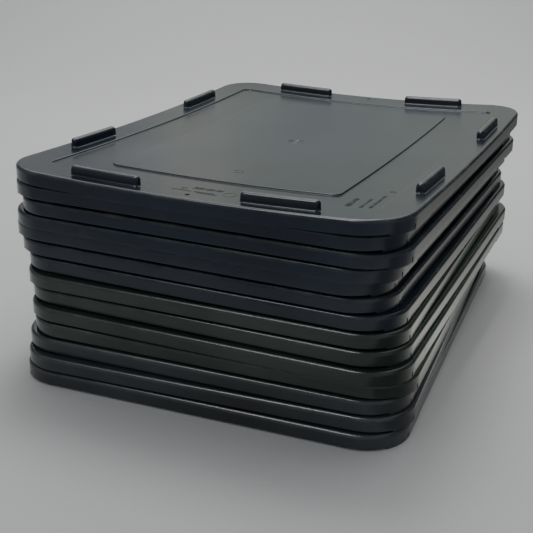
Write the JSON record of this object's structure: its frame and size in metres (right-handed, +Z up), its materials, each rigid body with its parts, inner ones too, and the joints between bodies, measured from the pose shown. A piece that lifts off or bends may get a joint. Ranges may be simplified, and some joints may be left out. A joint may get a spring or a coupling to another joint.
{
  "type": "stack of flat tote lids",
  "caption": "Loose stack of flat rectangular tote lids in dark plastic, each with a shallow skirt, a sunk ring, a raised middle panel and stacking ridges.",
  "frame": {"origin": "on the floor, under the middle of the box that holds the whole stack", "axes": "+Z up, +Y along the lids' long side, towards the back, +X along their short side, to the right"},
  "size_m": [0.4806, 0.6078, 0.2479],
  "materials": {
    "lid_plastic": "semi-gloss moulded dark plastic with fine scuffs"
  },
  "bodies": {
    "lid_01": {"lid_01": "lid_plastic"},
    "lid_02": {"lid_02": "lid_plastic"},
    "lid_03": {"lid_03": "lid_plastic"},
    "lid_04": {"lid_04": "lid_plastic"},
    "lid_05": {"lid_05": "lid_plastic"},
    "lid_06": {"lid_06": "lid_plastic"},
    "lid_07": {"lid_07": "lid_plastic"},
    "lid_08": {"lid_08": "lid_plastic"},
    "lid_09": {"lid_09": "lid_plastic"},
    "lid_10": {"lid_10": "lid_plastic"},
    "lid_11": {"lid_11": "lid_plastic"},
    "lid_12": {"lid_12": "lid_plastic"},
    "lid_13": {"lid_13": "lid_plastic"},
    "lid_14": {"lid_14": "lid_plastic"}
  },
  "joints": [
    {"name": "lift_02", "type": "slide", "parent": "lid_01", "child": "lid_02", "axis": [0, 0, 1], "range_m": [0, 0.06]},
    {"name": "lift_03", "type": "slide", "parent": "lid_02", "child": "lid_03", "axis": [0, 0, 1], "range_m": [0, 0.06]},
    {"name": "lift_04", "type": "slide", "parent": "lid_03", "child": "lid_04", "axis": [0, 0, 1], "range_m": [0, 0.06]},
    {"name": "lift_05", "type": "slide", "parent": "lid_04", "child": "lid_05", "axis": [0, 0, 1], "range_m": [0, 0.06]},
    {"name": "lift_06", "type": "slide", "parent": "lid_05", "child": "lid_06", "axis": [0, 0, 1], "range_m": [0, 0.06]},
    {"name": "lift_07", "type": "slide", "parent": "lid_06", "child": "lid_07", "axis": [0, 0, 1], "range_m": [0, 0.06]},
    {"name": "lift_08", "type": "slide", "parent": "lid_07", "child": "lid_08", "axis": [0, 0, 1], "range_m": [0, 0.06]},
    {"name": "lift_09", "type": "slide", "parent": "lid_08", "child": "lid_09", "axis": [0, 0, 1], "range_m": [0, 0.06]},
    {"name": "lift_10", "type": "slide", "parent": "lid_09", "child": "lid_10", "axis": [0, 0, 1], "range_m": [0, 0.06]},
    {"name": "lift_11", "type": "slide", "parent": "lid_10", "child": "lid_11", "axis": [0, 0, 1], "range_m": [0, 0.06]},
    {"name": "lift_12", "type": "slide", "parent": "lid_11", "child": "lid_12", "axis": [0, 0, 1], "range_m": [0, 0.06]},
    {"name": "lift_13", "type": "slide", "parent": "lid_12", "child": "lid_13", "axis": [0, 0, 1], "range_m": [0, 0.06]},
    {"name": "lift_14", "type": "slide", "parent": "lid_13", "child": "lid_14", "axis": [0, 0, 1], "range_m": [0, 0.06]}
  ]
}
